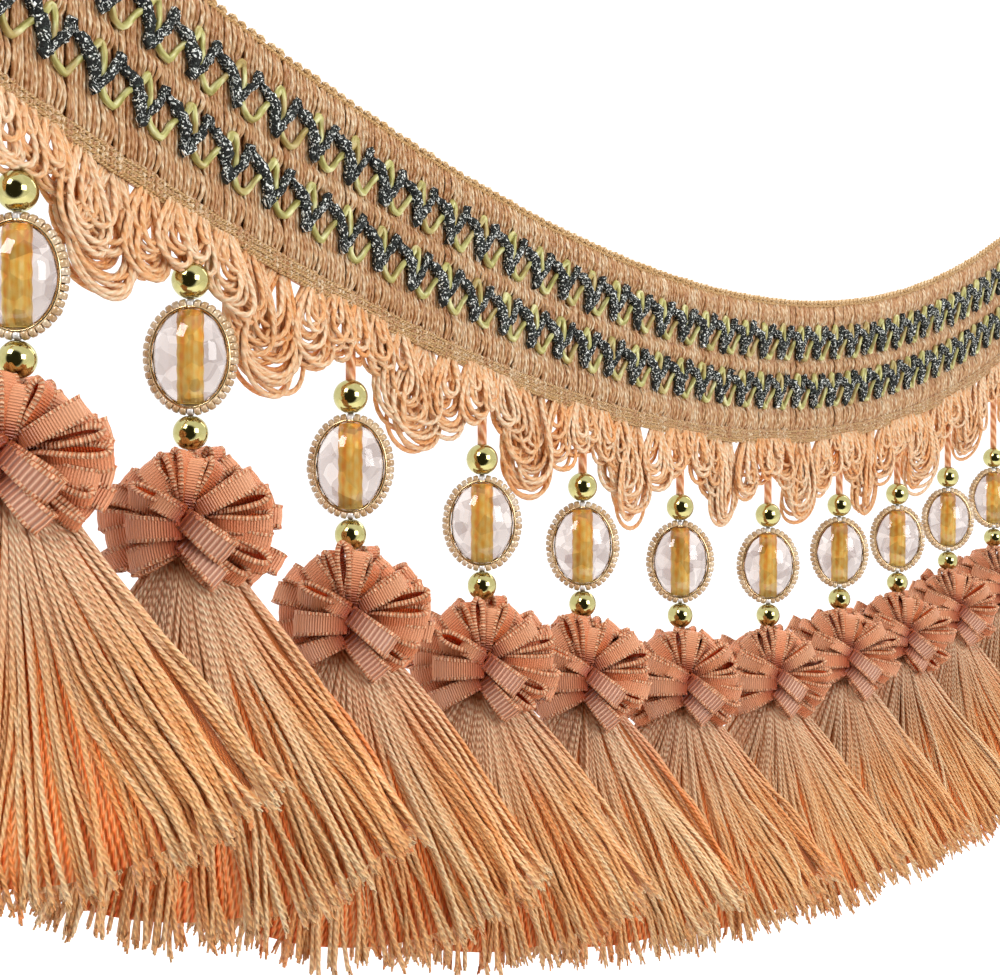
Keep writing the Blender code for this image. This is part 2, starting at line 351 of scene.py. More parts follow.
def together(*meshes):
    """Several sets of yarns or bodies as one."""
    starts = np.cumsum([0] + [len(mesh["points"]) for mesh in meshes[:-1]])
    joined = {key: np.concatenate([mesh[key] for mesh in meshes]) for key in meshes[0]}
    joined["corners"] = np.concatenate([mesh["corners"] + start for mesh, start in zip(meshes, starts)])
    return joined


chance = np.random.default_rng(11)


def jitter(spread, *shape):
    """Random amounts to either side of nothing, most of them smaller than the spread."""
    return spread * chance.normal(size=shape or None)


# Ground band, a closed strip whose weave is raised in its finish
ground_x = np.linspace(-HEADING_HALF_LENGTH, HEADING_HALF_LENGTH, GROUND_COLUMNS + 1)
ground_rows = np.linspace(GROUND_INSET, 1 - GROUND_INSET, GROUND_ROWS + 1)
ground_down = np.concatenate([ground_rows, ground_rows[::-1]]) * HEADING_WIDTH
ground_out = np.repeat([0.0, -GROUND_THICK], GROUND_ROWS + 1)
ground_rings = heading_point(ground_x[:, None], ground_down, ground_out)[None]
ground = skin(ground_rings, ground_x[None], np.append(ground_down, ground_down[0]))
braid_ground = Paint("braid_ground", Roughness=0.6)
weft, warp = braid_ground.measures()
weave = braid_ground.wave(weft / GROUND_RIB_PITCH) * braid_ground.wave(warp / GROUND_PICK_PITCH)
blotch = braid_ground.noise(260.0)
braid_ground.feed(Base_Color=braid_ground.mix(weave * 0.7 + blotch * 0.3, "#A05A30", "#D8AC7C"))
braid_ground.bump(weave, 0.0003)
heading = show("heading_ground", braid_ground, ground, ["heading"])

# Float yarns, cut at the heading's two ends, which pass under and over the fine cords of the binding
float_rows = [FLOAT_ZONES[0][0]]
float_lift = [0.0]
for start, end, lift, steps in FLOAT_ZONES:
    for step in range(1, steps + 1):
        float_rows.append(start + (end - start) * step / steps)
        float_lift.append(lift * math.sin(math.pi * step / steps))
free = len(float_rows)
float_rows = np.array(float_rows + list(BINDING_STEPS))
float_lift = np.array(float_lift + [BINDING_LIFT] * len(BINDING_STEPS))
drawn = np.where(np.arange(len(float_rows)) < free, 1 - float_lift / float_lift.max(), 0.0)
ends = heading_point(np.array([-HEADING_HALF_LENGTH, HEADING_HALF_LENGTH]), HEADING_WIDTH)
float_x = np.arange(ends[0, 0] + FLOAT_END_ROOM, ends[1, 0] - FLOAT_END_ROOM, FLOAT_STEP)
float_x = float_x + jitter(0.0001, len(float_x))
count = len(float_x)
overhang = np.where(float_x < 0, ends[0, 0] + HEADING_HALF_LENGTH, ends[1, 0] - HEADING_HALF_LENGTH)
cut_down = HEADING_WIDTH * np.clip((np.abs(float_x) - HEADING_HALF_LENGTH) / np.abs(overhang), 0, 1)
sheaf = (np.floor(float_x / ZIGZAG_PERIOD) + 0.5) * ZIGZAG_PERIOD
over = np.zeros((count, len(float_rows)))
over[:, free:] = BINDING_WEAVE * (-1.0) ** (np.arange(count)[:, None] + np.arange(len(BINDING_STEPS)))
puff = 1 + SHEAF_PUFF * np.cos(float_x * (2 * math.pi / ZIGZAG_PERIOD))[:, None]
float_down = float_rows * HEADING_WIDTH + jitter(0.0002, count, 1)
float_down = np.maximum(float_down, cut_down[:, None] + 1e-5 * np.arange(len(float_rows)))
float_paths = plumb_point(
    float_x[:, None] + (sheaf - float_x)[:, None] * SHEAF_DRAW * drawn,
    float_down,
    FLOAT_OUT + float_lift * (puff + jitter(0.22, count, 1)) + over,
)
floats = yarns(float_paths, FLOAT_THICK, 4, chance.random(count))

braid_yarn = Paint("braid_yarn", Roughness=0.34)
tone = braid_yarn.own("tone")
ply = braid_yarn.twist(2, FLOAT_PLY_PITCH, tone * 37.0)
# Painted highlight and shade: cream and brown streaks along the float yarns.
streak = braid_yarn.streaks(0.0018, 7.0, tone * 71.0)
browns = (0.28, "#9C6234"), (0.41, "#C08E60"), (0.52, "#D2A878"), (0.66, "#F0DCBA")
yarn_tint = braid_yarn.ramp(streak * 0.8 + tone * 0.2, *browns)
# Painted shade: darker brown in the valleys between the two plies.
braid_yarn.feed(Base_Color=braid_yarn.mix(ply, braid_yarn.mix(0.45, yarn_tint, "#A87044"), yarn_tint))
braid_yarn.bump(ply * 0.6 + streak * 0.8, 0.00022)
heading_floats = show("heading_floats", braid_yarn, floats)


# The two zigzag rows: a thick dark chenille cord full of silver tinsel drops steeply and climbs back at a
# slant, and a flat lime tape does the same behind it and shows as hooks and bows between the strokes.
ZIGZAG_ROWS = (
    # place across the width, share of a period that the row starts late
    (0.289, 0.335),
    (0.638, 0.140),
)
ZIGZAG_PERIODS = 25
ZIGZAG_HALF = 0.0049
CHENILLE_THICK = 0.0026
CHENILLE_OUT = 0.0021
CHENILLE_FUZZ = 0.00020
TUFTS_A_METRE = 3000.0
TUFTS_ROUND = 25.0
LIME_THICK = 0.00150
LIME_OUT = 0.0016
CHENILLE_TURN = (
    # share of a period along, share of the half width down, share of the thickness
    (0.00, -1.08, 0.72),
    (0.03, -0.82, 0.36),
    (0.06, -0.62, 0.70),
    (0.16, -0.58, 0.98),
    (0.29, -0.46, 1.08),
    (0.38, -0.14, 1.08),
    (0.42, 0.20, 1.02),
    (0.41, 0.58, 0.72),
    (0.39, 0.98, 0.90),
    (0.47, 0.84, 0.58),
    (0.61, 0.36, 0.66),
    (0.75, -0.06, 0.74),
    (0.87, -0.46, 0.64),
    (0.94, -0.84, 0.74),
)
LIME_TURN = (
    (-0.38, -1.13, 1.05),
    (-0.34, -0.93, 1.00),
    (-0.33, -0.37, 0.95),
    (-0.36, 0.12, 0.95),
    (-0.40, 0.56, 1.05),
    (-0.31, 0.92, 1.15),
    (-0.17, 1.06, 1.20),
    (-0.08, 0.88, 1.00),
    (0.13, 0.17, 0.95),
    (0.33, -0.30, 0.95),
    (0.50, -0.75, 1.00),
    (0.56, -1.02, 1.05),
)
END_MARGIN = 0.0012


def end_clearance(points):
    """How far inside the heading's two ends each point is."""
    clear = []
    for end, sign in ((-HEADING_HALF_LENGTH, 1.0), (HEADING_HALF_LENGTH, -1.0)):
        top, bottom = heading_point(end, np.array([0.0, HEADING_WIDTH]))
        edge = unit(bottom - top)
        gone = points - top
        clear.append(sign * (gone[..., 2] * edge[0] - gone[..., 0] * edge[2]))
    return np.minimum(*clear)


def zigzag(turn, row, late, thick, out, sides, rough):
    """A cord from end to end of the heading, with the corners of its path cut so that it bends."""
    periods = np.arange(-ZIGZAG_PERIODS, ZIGZAG_PERIODS + 1)
    turn = np.array(turn)
    x = ((periods[:, None] + turn[:, 0] + late) * ZIGZAG_PERIOD).reshape(-1)
    x = x + jitter(0.00014, len(x))
    down = np.tile(turn[:, 1], len(periods)) * ZIGZAG_HALF + row * HEADING_WIDTH
    down = down + jitter(0.00014, len(x))
    path = plumb_point(x, down, out + jitter(0.0002, len(x)))
    path = np.concatenate([path, thick * np.tile(turn[:, 2], len(periods))[:, None]], 1)
    early = 0.75 * path[:-1] + 0.25 * path[1:]
    later = 0.25 * path[:-1] + 0.75 * path[1:]
    path = np.stack([early, later], 1).reshape(-1, 4)
    path = path[end_clearance(path[:, :3]) > END_MARGIN][None]
    girth = path[..., 3] * (1 + jitter(rough, *path.shape[:2]))
    return yarns(path[..., :3], girth, sides)


chenille_rows = []
lime_rows = []
for row, late in ZIGZAG_ROWS:
    cord = zigzag(CHENILLE_TURN, row, late, CHENILLE_THICK, CHENILLE_OUT, sides=11, rough=0.10)
    cord["points"] = cord["points"] + jitter(CHENILLE_FUZZ, *cord["points"].shape)
    chenille_rows.append(cord)
    lime_rows.append(zigzag(LIME_TURN, row, late, LIME_THICK, LIME_OUT, sides=5, rough=0.06))

chenille = Paint("chenille", Roughness=0.7)
along, around = chenille.measures()
place = chenille.node("ShaderNodeCombineXYZ", None, {0: along * TUFTS_A_METRE, 1: around * TUFTS_ROUND})
tuft, crease = chenille.cells(place, 1.0)
tinsel = chenille.above(tuft, 0.76, 0.88)
tuft_tint = chenille.ramp(tuft, (0.0, "#040504"), (0.64, "#0C110C"), (0.79, "#38423A"), (0.88, "#FAFCF6"))
chenille.feed(Base_Color=tuft_tint, Metallic=tinsel * 0.4, Roughness=0.8 - tinsel * 0.45)
chenille.bump(1 - crease, 0.0004)
show("heading_chenille", chenille, together(*chenille_rows))

lime = Paint("lime_tape", Roughness=0.42)
# Painted highlight and shade: lighter and darker streaks along the lime tape.
lime_light_and_shade = lime.streaks(0.0035, 4.0, 3.0)
lime_tint = lime.ramp(lime_light_and_shade, (0.3, "#8E843E"), (0.5, "#B6B066"), (0.68, "#E0DCA4"))
browned = lime.above(lime.noise(110.0), 0.52, 0.62)
lime.feed(Base_Color=lime.mix(browned * 0.50, lime_tint, "#A87C46"))
lime.bump(lime_light_and_shade, 0.0003)
show("heading_lime", lime, together(*lime_rows))


# The edges: a row of round gold and peach knots along the top, and a binding of fine gold cords at the
# bottom, which the float yarns pass over and under and where the loop fringe is sewn in.
EDGE_CORDS = (
    # place across the width, thickness, out from the ground
    (0.012, 0.00110, 0.00060),
    (0.921, 0.00072, 0.00095),
    (0.934, 0.00062, 0.00080),
    (0.947, 0.00062, 0.00080),
    (0.960, 0.00072, 0.00095),
    (0.973, 0.00062, 0.00080),
    (0.986, 0.00072, 0.00095),
    (0.998, 0.00085, 0.00060),
)
EDGE_STEPS = 300
PICOT_STEP = 0.0025
PICOT_HALF = 0.0007
PICOT_DOWN = 0.0006
PICOT_HIGH = 0.0011
PICOT_OUT = 0.0003
PICOT_THICK = 0.0019
PICOT_POINTS = 6
PICOT_END_ROOM = 0.002

edge_x = np.linspace(-HEADING_HALF_LENGTH, HEADING_HALF_LENGTH, EDGE_STEPS)
edges = []
for which, (share, thick, out) in enumerate(EDGE_CORDS):
    waver = jitter(0.0001, EDGE_STEPS)
    path = heading_point(edge_x, share * HEADING_WIDTH + waver, out)[None]
    edges.append(yarns(path, thick, 5, which % 3 * 0.3))
picot_end = HEADING_HALF_LENGTH - PICOT_END_ROOM
picot_x = np.arange(-picot_end, picot_end, PICOT_STEP)
picot_x = picot_x + jitter(0.00012, len(picot_x))
bend = np.linspace(0, math.pi, PICOT_POINTS)
picots = heading_point(
    picot_x[:, None] + PICOT_HALF * np.cos(bend),
    PICOT_DOWN - PICOT_HIGH * np.sin(bend),
    PICOT_OUT + 0.0005 * np.sin(2 * bend),
)
swell = PICOT_THICK * (0.30 + 0.70 * np.sin(bend)) * (1 + jitter(0.10, len(picot_x), 1))
edges.append(yarns(picots, swell, 7, chance.random(len(picots))))

edge_cord = Paint("edge_cord", Roughness=0.4)
ply = edge_cord.twist(2, 0.0016)
tint = edge_cord.mix(edge_cord.own("tone"), "#DCB074", "#F6D8AC")
# Painted shade: darker gold in the valleys between the plies.
edge_cord.feed(Base_Color=edge_cord.mix(ply, "#B88A50", tint))
edge_cord.bump(ply, 0.0003)
heading_edges = show("heading_edges", edge_cord, together(*edges))


# The loop fringe: glossy two-ply yarn laid back and forth in round lobes of open loops, one loop inside
# the next. Lobes are short beside each cord and longest half way, and all are sewn into the binding.
PENDANT_COUNT = 11
LOOP_THICK = 0.00130
LOOP_PLY_PITCH = 0.0044
LOOP_PINCH = 0.0009
LOOP_SEWN_IN = 0.0012
LOOP_ACROSS = np.array([0.08, 1.0, 0.03])
LOOP_LOBES = (
    # share of the way to the next cord, drop, half its width, lean to the right, back, loops, steps
    (0.03, 0.0116, 0.0026, 0.0000, -0.0012, 9, 13),
    (0.18, 0.0150, 0.0038, 0.0006, -0.0008, 12, 15),
    (0.35, 0.0214, 0.0052, 0.0000, 0.0000, 16, 19),
    (0.53, 0.0284, 0.0076, -0.0034, 0.0008, 21, 26),
    (0.74, 0.0196, 0.0050, -0.0016, 0.0000, 15, 18),
    (0.91, 0.0138, 0.0034, 0.0000, -0.0010, 10, 14),
)


def middle_of(node):
    low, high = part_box(node)
    return np.array((low + high) / 2)


def lower_edge(x):
    """Height of the heading's lower edge above or below each x."""
    return plumb_point(x, HEADING_WIDTH)[..., 2]


top_balls = [middle_of(f"top_bead_{index}") for index in range(PENDANT_COUNT)]
cord_x = np.array([ball[0] for ball in top_balls])
fringe_low, fringe_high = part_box("loop_fringe")
stops = [2 * cord_x[0] - cord_x[1], *cord_x, 2 * cord_x[-1] - cord_x[-2]]
loops = []
for left, right in zip(stops, stops[1:]):
    for share, drop, half, lean, back, count, steps in LOOP_LOBES:
        size = 1 + jitter(0.05)
        nested = np.sqrt(np.linspace(0.06, 1.0, count))[:, None]
        go = np.linspace(0, 1, steps)
        fall = np.sin(math.pi * go) ** 0.9
        turn = 1.05 * (1 - 0.6 * nested) * chance.uniform(-1, 1, (count, 1)) + jitter(0.25)
        open_out = half * size * nested * np.sin(2 * math.pi * go) * (1 + jitter(0.07, count, 1))
        side = chance.uniform(-1, 1, (count, 1))
        paths = np.zeros((count, steps, 3))
        paths[:, :, 0] = (
            left
            + share * (right - left)
            + jitter(0.0008, count, 1)
            + (lean + jitter(0.0008, count, 1)) * fall
            + LOOP_PINCH * (2 * go - 1)
            - np.cos(turn) * open_out
            + jitter(0.0003, count, 1) * np.sin(7 * go + 3 * side)
        )
        paths[:, :, 1] = back + 0.0013 * side * (0.4 + fall) + np.sin(turn) * open_out * 0.6
        reach = drop * size * (0.22 + 0.78 * nested) * (1 + jitter(0.04, count, 1))
        paths[:, :, 2] = lower_edge(paths[:, :, 0]) + LOOP_SEWN_IN - reach * fall
        inside = (paths[..., 0].min(1) > fringe_low.x) & (paths[..., 0].max(1) < fringe_high.x)
        # Painted shade: loops further back and the smaller loops inside a lobe get a lower tone, a deeper
        # orange, besides a random share.
        tone = 0.56 - 0.22 * side + 0.22 * (nested - 0.6) + jitter(0.15, count, 1)
        tone = np.clip(tone[:, 0], 0, 1)
        if inside.any():
            loops.append(yarns(paths[inside], LOOP_THICK, 4, tone[inside], LOOP_ACROSS))


def silky(name, roughness, sheen, tint):
    """A finish with the soft glow of rayon."""
    return Paint(name, Roughness=roughness, Sheen_Weight=sheen, Sheen_Roughness=0.4, Sheen_Tint=tint)


loop_yarn = silky("loop_yarn", 0.34, 0.35, "#FFC48C")
tone = loop_yarn.own("tone")
ply = loop_yarn.twist(2, LOOP_PLY_PITCH, tone * 37.0)
# Painted highlight and shade: cream and deeper orange streaks along the loops, with the tone of each loop.
streak = loop_yarn.streaks(0.0026, 2.0, tone * 53.0)
peaches = (0.15, "#EE8C3E"), (0.34, "#E8A05C"), (0.54, "#E8B884"), (0.74, "#F2DCBA")
tint = loop_yarn.ramp(streak * 0.45 + tone * 0.55, *peaches)
# Painted shade: a deeper orange in the valleys between the plies.
loop_yarn.feed(Base_Color=loop_yarn.mix(ply, loop_yarn.mix(0.45, tint, "#E28C4A"), tint))
loop_yarn.bump(ply, 0.00020)
show("loop_fringe_loops", loop_yarn, together(*loops), ["loop_fringe"])

# The hanger cords: three-ply twisted cords, sewn in behind the binding, that run down through the beads
# of their pendants. Only the stretch from inside the binding to inside the upper ball is modelled.
CORD_THICK = 0.0024
CORD_SUNK = 0.002
CORD_POINTS = 10
cord_paths = []
for ball in top_balls:
    height = np.linspace(float(lower_edge(ball[0])) + CORD_SUNK, ball[2] + CORD_SUNK, CORD_POINTS)
    cord_paths.append(np.stack([0 * height + ball[0], 0 * height, height], -1))
cords = yarns(np.array(cord_paths), CORD_THICK, 9)
cord_yarn = Paint("cord_yarn", Roughness=0.4)
ply = cord_yarn.twist(3, 0.0120)
fibre = cord_yarn.streaks(0.003, 8.0, 1.0)
cord_stops = (0.2, "#BC6A34"), (0.5, "#DC9460"), (0.8, "#F0C498")
# Painted highlight and shade: each ply lighter on its crest and darker in its valleys, with fibre streaks.
cord_yarn.feed(Base_Color=cord_yarn.ramp(ply * 0.5 + fibre * 0.5, *cord_stops))
cord_yarn.bump(ply, 0.0003)
show("hanger_cords", cord_yarn, cords)


# The ball beads: bored balls with a polished gold plating, one above the oval bead and one below it.
BALL_BORE = 0.0011
BALL_SIDES = 32
BALL_BANDS = 17


def turned(profile, sides):
    """A ring body turned from a closed profile of (radius, height) points."""
    radius, height = np.array(profile, float).T
    angle = np.arange(sides) * (2 * math.pi / sides)
    x, y = np.outer(np.cos(angle), radius), np.outer(np.sin(angle), radius)
    points = np.stack([x, y, np.broadcast_to(height, x.shape)], -1)
    grid = np.arange(x.size).reshape(x.shape)
    ahead = np.roll(grid, -1, 0)
    corners = np.stack([grid, ahead, np.roll(ahead, -1, 1), np.roll(grid, -1, 1)], -1).reshape(-1)
    return {"points": points.reshape(-1, 3), "corners": corners, "counts": np.full(len(corners) // 4, 4)}


balls = []
ball_nodes = []
for index in range(PENDANT_COUNT):
    for node in (f"top_bead_{index}", f"low_bead_{index}"):
        low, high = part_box(node)
        radius = (high.z - low.z) / 2
        bore = math.asin(BALL_BORE / radius)
        sweep = np.linspace(math.pi - bore, bore, BALL_BANDS)
        ball = turned(radius * np.stack([np.sin(sweep), np.cos(sweep)], -1), BALL_SIDES)
        ball["points"] = ball["points"] + middle_of(node)
        balls.append(ball)
        ball_nodes.append(node)

gold = Paint("gold_plating", Metallic=1.0)
wear = gold.noise(900.0)
gold.feed(Base_Color=gold.mix(wear, "#A8A05E", "#C8BF8A"), Roughness=0.05 + wear * 0.10)
show("gold_balls", gold, together(*balls), ball_nodes)


# The oval bead: a clear faceted lens of acrylic on a core of amber yarn, with a fine gold wire and a ring
# of champagne seed beads strung round it. The seeds at the top and bottom are silver.
LENS_WIDE = 0.0162
LENS_HIGH = 0.0208
LENS_DEEP = 0.0098
LENS_SIDES = 12
LENS_BANDS = 8
CORE_THICK = 0.0053
CORE_ROOM = 0.92
CORE_HALF = 0.470
CORE_STEPS = 22
SEED_COUNT = 42
SEED_THICK = 0.0021
SEED_LONG = 0.0015
SEED_RING_WIDE = 0.0181
SEED_RING_HIGH = 0.0225
THREAD_THICK = 0.0011
THREAD_INSIDE = 0.0009
THREAD_STEPS = 64
WIRE_THICK = 0.0008
WIRE_CLEAR = 0.0003
WIRE_FORWARD = 0.0007
WIRE_STEPS = 72

facet_up = np.linspace(math.pi / 2, -math.pi / 2, LENS_BANDS + 1)[1:-1]
lens_points = [(0, 0, 1)]
for band, rise in enumerate(facet_up):
    for side in range(LENS_SIDES):
        angle = 2 * math.pi * (side + 0.5 * (band % 2)) / LENS_SIDES
        out = math.cos(rise)
        lens_points.append((out * math.cos(angle), out * math.sin(angle), math.sin(rise)))
lens_points.append((0, 0, -1))
lens_faces = []
for side in range(LENS_SIDES):
    after = (side + 1) % LENS_SIDES
    lens_faces.append((0, 1 + side, 1 + after))
    for band in range(len(facet_up) - 1):
        upper = 1 + band * LENS_SIDES
        here, ahead = upper + side, upper + after
        below, below_ahead = here + LENS_SIDES, ahead + LENS_SIDES
        if band % 2:
            lens_faces += [(here, below_ahead, ahead), (here, below, below_ahead)]
        else:
            lens_faces += [(here, below, ahead), (ahead, below, below_ahead)]
    last = 1 + (len(facet_up) - 1) * LENS_SIDES
    lens_faces.append((last + side, len(lens_points) - 1, last + after))
lens = {
    "points": np.array(lens_points) * (LENS_WIDE / 2, LENS_DEEP / 2, LENS_HIGH / 2),
    "corners": np.array(lens_faces).reshape(-1),
    "counts": np.full(len(lens_faces), 3),
}

core_height = np.linspace(-CORE_HALF, CORE_HALF, CORE_STEPS) * LENS_HIGH
core_path = np.stack([0 * core_height, 0 * core_height, core_height], -1)[None]
core_swell = CORE_THICK * (1 + 0.03 * np.sin(core_height * 1900))
core = yarns(core_path, core_swell, 16)
lens_share = (2 * core["points"][:, 0] / LENS_WIDE) ** 2 + (2 * core["points"][:, 2] / LENS_HIGH) ** 2
core_room = CORE_ROOM * LENS_DEEP / 2 * np.sqrt(np.maximum(1 - lens_share, 0.0))
core["points"][:, 1] = np.clip(core["points"][:, 1], -core_room, core_room)

SEED_PROFILE = (
    # share of the thickness out from the axis, share of the length along it
    (0.22, -0.42),
    (0.22, 0.42),
    (0.40, 0.46),
    (0.50, 0.28),
    (0.50, -0.28),
    (0.40, -0.46),
)
seed_body = turned(np.array(SEED_PROFILE) * (SEED_THICK, SEED_LONG), 9)


def oval_arc(count, wide, high):
    """Even places round an oval ring, from its top, and the way that the ring runs there."""
    fine = np.linspace(0, 2 * math.pi, 721)
    x, z = wide / 2 * np.sin(fine), high / 2 * np.cos(fine)
    far = np.concatenate([[0], np.cumsum(np.hypot(np.diff(x), np.diff(z)))])
    at = np.interp(np.arange(count) / count * far[-1], far, fine)
    places = np.stack([wide / 2 * np.sin(at), 0 * at, high / 2 * np.cos(at)], -1)
    runs = unit(np.stack([wide / 2 * np.cos(at), 0 * at, -high / 2 * np.sin(at)], -1))
    return places, runs


def closed_up(path):
    return np.concatenate([path, path[:1]])[None]


seed_places, seed_runs = oval_arc(SEED_COUNT, SEED_RING_WIDE, SEED_RING_HIGH)
seed_side = np.cross(seed_runs, OUT_OF_BAND)
seed_frames = np.stack([seed_side, np.broadcast_to(OUT_OF_BAND, seed_side.shape), seed_runs], 1)
wire_places, _ = oval_arc(WIRE_STEPS, LENS_WIDE + WIRE_CLEAR, LENS_HIGH + WIRE_CLEAR)
wire = yarns(closed_up(wire_places - WIRE_FORWARD * OUT_OF_BAND), WIRE_THICK, 5)
thread_places, _ = oval_arc(THREAD_STEPS, SEED_RING_WIDE - THREAD_INSIDE, SEED_RING_HIGH - THREAD_INSIDE)
thread = yarns(closed_up(thread_places), THREAD_THICK, 6)


def facing(body, heart):
    """A body in a pendant's own frame (x to the viewer's right, y away, z up), set round its heart."""
    points = body["points"]
    turned_points = points[:, :1] * RIGHT + points[:, 1:2] * FORWARD + points[:, 2:] * UP
    return dict(body, points=turned_points + heart)


lenses, cores, seeds, wires, threads = [], [], [], [], []
for index in range(PENDANT_COUNT):
    heart = middle_of(f"oval_bead_{index}")
    lenses.append(facing(lens, heart))
    cores.append(facing(core, heart))
    wires.append(facing(wire, heart))
    threads.append(facing(thread, heart))
    size = 1 + jitter(0.05, SEED_COUNT, 1, 1)
    bodies = np.einsum("pk,skj->spj", seed_body["points"], seed_frames) * size + seed_places[:, None]
    shift = np.arange(SEED_COUNT)[:, None] * len(seed_body["points"])
    tone = chance.uniform(0, 0.85, SEED_COUNT)
    tone[[0, SEED_COUNT // 2]] = 1.0
    strung = {
        "points": bodies.reshape(-1, 3),
        "corners": (seed_body["corners"] + shift).reshape(-1),
        "counts": np.tile(seed_body["counts"], SEED_COUNT),
        "tone": np.repeat(tone, len(seed_body["points"])),
        "inner": np.tile(0.5 + seed_body["points"][:, 0] / SEED_THICK, SEED_COUNT),
    }
    seeds.append(facing(strung, heart))

clear = Paint("clear_bead", Roughness=0.02, IOR=1.16, Transmission_Weight=1.0)
clear.feed(Coat_Weight=1.0, Coat_Roughness=0.02)
# Painted highlight and shade: each facet cell of the clear lens gets a lighter or darker tint.
painted_facet_light, _ = clear.cells(clear.node("ShaderNodeTexCoord", out="Object"), 280.0)
clear.feed(Base_Color=clear.mix(painted_facet_light, "#AA9A96", "#EEE4E0"))
amber = Paint("amber_core", Roughness=0.35)
braided = amber.twist(5, 0.0160) * 0.5 + amber.twist(5, -0.0160) * 0.5
strand = amber.streaks(0.0200, 14.0, 5.0)
rise = amber.own("share")
amber_stops = (0.30, "#FFA030"), (0.46, "#FFC850"), (0.60, "#FFE27C")
amber.feed(Base_Color=amber.ramp(strand * 0.70 + braided * 0.12 + (1 - rise) * 0.18, *amber_stops))
amber.bump(braided * 0.5 + strand, 0.0003)
seed = Paint("seed_bead", Roughness=0.2, Coat_Weight=0.6, Specular_IOR_Level=0.7)
pearl = seed.own("tone")
pearls = (0.0, "#C49C70"), (0.4, "#DABA90"), (0.8, "#EED6B6"), (0.95, "#F0E8E4"), (1.0, "#FAF8F8")
outer_tint = seed.ramp(pearl, *pearls)
inner = seed.own("inner")
seed.feed(
    Base_Color=seed.mix(seed.above(inner, 0.45, 0.95) * 0.8, outer_tint, "#8E6A38"),
    Metallic=pearl * 0.15 + 0.05,
)
rim = Paint("gold_wire", Metallic=1.0, Roughness=0.25)
rim.feed(Base_Color=rim.mix(rim.noise(1200.0), "#D0AE7C", "#F2DCB4"))
brown = Paint("ring_thread", Roughness=0.8)
brown.feed(Base_Color=brown.mix(brown.noise(2500.0), "#2A2010", "#54401F"))
oval_nodes = [f"oval_bead_{index}" for index in range(PENDANT_COUNT)]
show("oval_lenses", clear, together(*lenses), oval_nodes)
show("oval_cores", amber, together(*cores))
show("seed_rings", seed, together(*seeds))
show("seed_threads", brown, together(*threads))
show("oval_wires", rim, together(*wires))


# The rosette: ribbed peach ribbon with a beaded edge, gathered into loops round the cord. Broad loops lie
# over the front and the back, and others stand out all round, some of them edge on.
RIBBON_THICK = 0.0007
LOOP_RINGS = 15
MILLIMETRE = 0.001
PETALS = (
    # tip to the right and up, root to the right and up, forward, width, roll in degrees, gape, painted glow
    (10.6, -7.6, 1.0, 0.6, 11.5, 6.4, 0, 5.4, 0.05),
    (8.2, -14.0, 0.0, -4.4, 10.0, 5.8, -8, 5.0, 0.05),
    (-11.4, -1.6, 0.8, -1.8, 11.5, 6.4, 0, 5.4, 0.10),
    (-12.2, -10.6, -0.2, -5.2, 10.0, 5.8, 10, 5.0, 0.10),
    (-11.4, 5.9, 0.8, 1.0, 9.8, 5.4, -24, 4.6, 0.05),
    (-5.2, 3.9, 1.0, 0.6, 12.0, 4.4, 12, 3.6, 0.15),
    (-9.0, 12.2, -0.5, 2.2, 6.0, 5.4, -12, 4.4, 0.30),
    (-4.2, 14.8, 0.0, 2.4, 7.0, 5.0, 62, 4.0, 0.85),
    (-0.8, 15.4, 0.2, 2.4, 7.5, 4.8, 66, 4.2, 0.60),
    (3.2, 13.8, 0.8, 2.2, 8.0, 5.0, -6, 4.2, 0.20),
    (7.0, 13.0, 1.2, 2.0, 6.8, 5.0, 58, 4.2, 0.90),
    (14.6, 9.2, 2.0, 1.6, 7.4, 5.2, 14, 4.2, 0.10),
    (18.4, 4.4, 3.0, 1.0, 4.6, 5.0, 64, 4.4, 0.80),
    (18.9, -0.8, 3.0, 0.0, 5.6, 5.2, 36, 4.4, 0.55),
    (18.4, -5.4, 3.0, -1.0, 3.8, 5.2, 20, 4.4, 0.50),
    (16.8, -9.6, 2.0, -2.0, 4.6, 5.0, 52, 4.2, 0.75),
    (12.6, -13.0, 1.0, -3.0, 5.4, 5.0, 48, 4.2, 0.70),
    (-14.0, 9.6, -1.0, 2.0, 4.6, 5.0, 34, 4.2, 0.45),
    (-17.8, 5.4, -2.0, 1.0, 5.0, 5.4, 16, 4.4, 0.25),
    (-18.8, 0.4, -2.0, 0.0, 4.2, 5.4, -12, 4.6, 0.30),
    (-18.4, -4.8, -2.0, -1.0, 5.6, 5.4, 4, 4.6, 0.30),
    (-17.4, -9.4, -1.0, -2.0, 4.6, 5.4, -18, 4.4, 0.40),
    (-13.8, -13.0, -0.5, -3.0, 5.0, 5.2, -36, 4.2, 0.60),
)
COARSE_PETALS = 2
BROAD_PETALS = 6
BROAD_ARCH = 0.0022
PETAL_ARCH = 0.0010
MIDDLE_LOOPS = 15
MIDDLE_ROOT = 0.15
MIDDLE_WIDE = 0.0168
MIDDLE_HIGH = 0.0134
RIBBON_SECTION = (
    # share across, crown, share of the thickness towards the inside of the loop
    (-1.00, 0.00, -0.95),
    (-0.72, 0.50, -0.45),
    (0.00, 1.00, -0.45),
    (0.72, 0.50, -0.45),
    (1.00, 0.00, -0.95),
    (1.00, 0.00, 0.95),
    (0.00, 1.00, 0.45),
    (-1.00, 0.00, 0.95),
)
RIBBON_AROUND = np.array([0, 0.14, 0.5, 0.86, 1, 1, 0.5, 0, 0])
ROSETTE_SCALE = 0.925
ROSETTE_SINK = 0.0017
RIB_PITCH = 0.00062
EDGE_BEAD_PITCH = 0.00088


